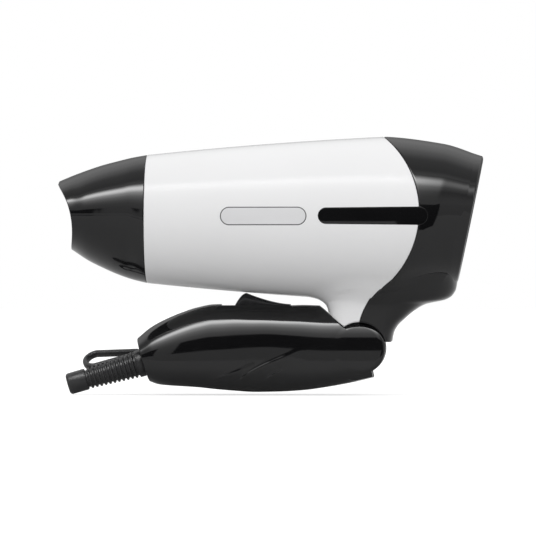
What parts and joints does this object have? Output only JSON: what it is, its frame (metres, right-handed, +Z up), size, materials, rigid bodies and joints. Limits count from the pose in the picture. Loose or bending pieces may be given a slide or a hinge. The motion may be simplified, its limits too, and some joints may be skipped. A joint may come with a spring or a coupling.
{
  "type": "hair dryer",
  "caption": "Folding travel hair dryer: tapered barrel, push-on nozzle, rear inlet grille, fold-up handle with slide switch, ribbed cord relief and hang loop.",
  "frame": {"origin": "bottom centre of the bounding box, with the handle folded and the nozzle on", "axes": "+Z up, +X towards the air inlet at the rear, -X towards the nozzle's mouth, Y = 0 is the plane of symmetry"},
  "size_m": [0.2057, 0.0798, 0.1249],
  "materials": {
    "shell_white": "high gloss, moulded",
    "shell_black": "high gloss, moulded",
    "knob_black": "satin gloss",
    "grille_black": "fine satin",
    "badge_plate": "thin pad-printed outline, bare inside",
    "rubber_black": "smooth moulded rubber",
    "plastic_inner": "moulded",
    "steel": "plain",
    "heater_wire": "dull resistance wire",
    "mica": "dull",
    "circuit_board": "dull",
    "filter_mesh": "open foam",
    "wire_insulation": "smooth"
  },
  "bodies": {
    "barrel": {"main_housing": "shell_white", "rear_housing": "shell_black", "inlet_grille": "grille_black", "dust_filter": "filter_mesh", "trim_left": "shell_black", "trim_right": "shell_black", "badge_left": "badge_plate", "badge_right": "badge_plate", "outlet_grille": "grille_black", "heat_shield": "mica", "mica_board_upright": "mica", "mica_board_flat": "mica", "heater_coil": "heater_wire", "thermostat": "steel", "thermal_fuse": "steel", "heater_leads": "wire_insulation", "fan_duct": "plastic_inner", "motor": "steel", "rectifier_board": "circuit_board", "diodes": "plastic_inner", "hinge_bracket": "shell_black", "bracket_screws": "steel"},
    "nozzle": {"nozzle": "shell_black"},
    "rotor": {"fan": "plastic_inner", "motor_shaft": "steel"},
    "handle": {"handle_shell_left": "shell_black", "handle_shell_right": "shell_black", "handle_screws": "steel", "pivot_pin": "steel", "pivot_washers": "steel", "detent_ball": "steel", "detent_spring": "steel", "switch_body": "plastic_inner", "capacitor": "plastic_inner", "cord_clamp": "plastic_inner", "clamp_screws": "steel", "strain_relief": "rubber_black", "hang_loop": "rubber_black", "handle_wires": "wire_insulation"},
    "slider": {"switch_knob": "knob_black"}
  },
  "joints": [
    {"name": "handle_fold", "type": "hinge", "parent": "barrel", "child": "handle", "pos_m": [0.0427, 0, 0.0226], "axis": [0, -1, 0], "range_deg": [0, 74]},
    {"name": "knob_slide", "type": "slide", "parent": "handle", "child": "slider", "axis": [-1, 0, 0], "range_m": [0, 0.006]},
    {"name": "nozzle_pull", "type": "slide", "parent": "barrel", "child": "nozzle", "axis": [-1, 0, 0], "range_m": [0, 0.024]},
    {"name": "fan_spin", "type": "hinge", "parent": "barrel", "child": "rotor", "pos_m": [0.046, 0, 0.08529], "axis": [1, 0, 0], "continuous": true}
  ]
}
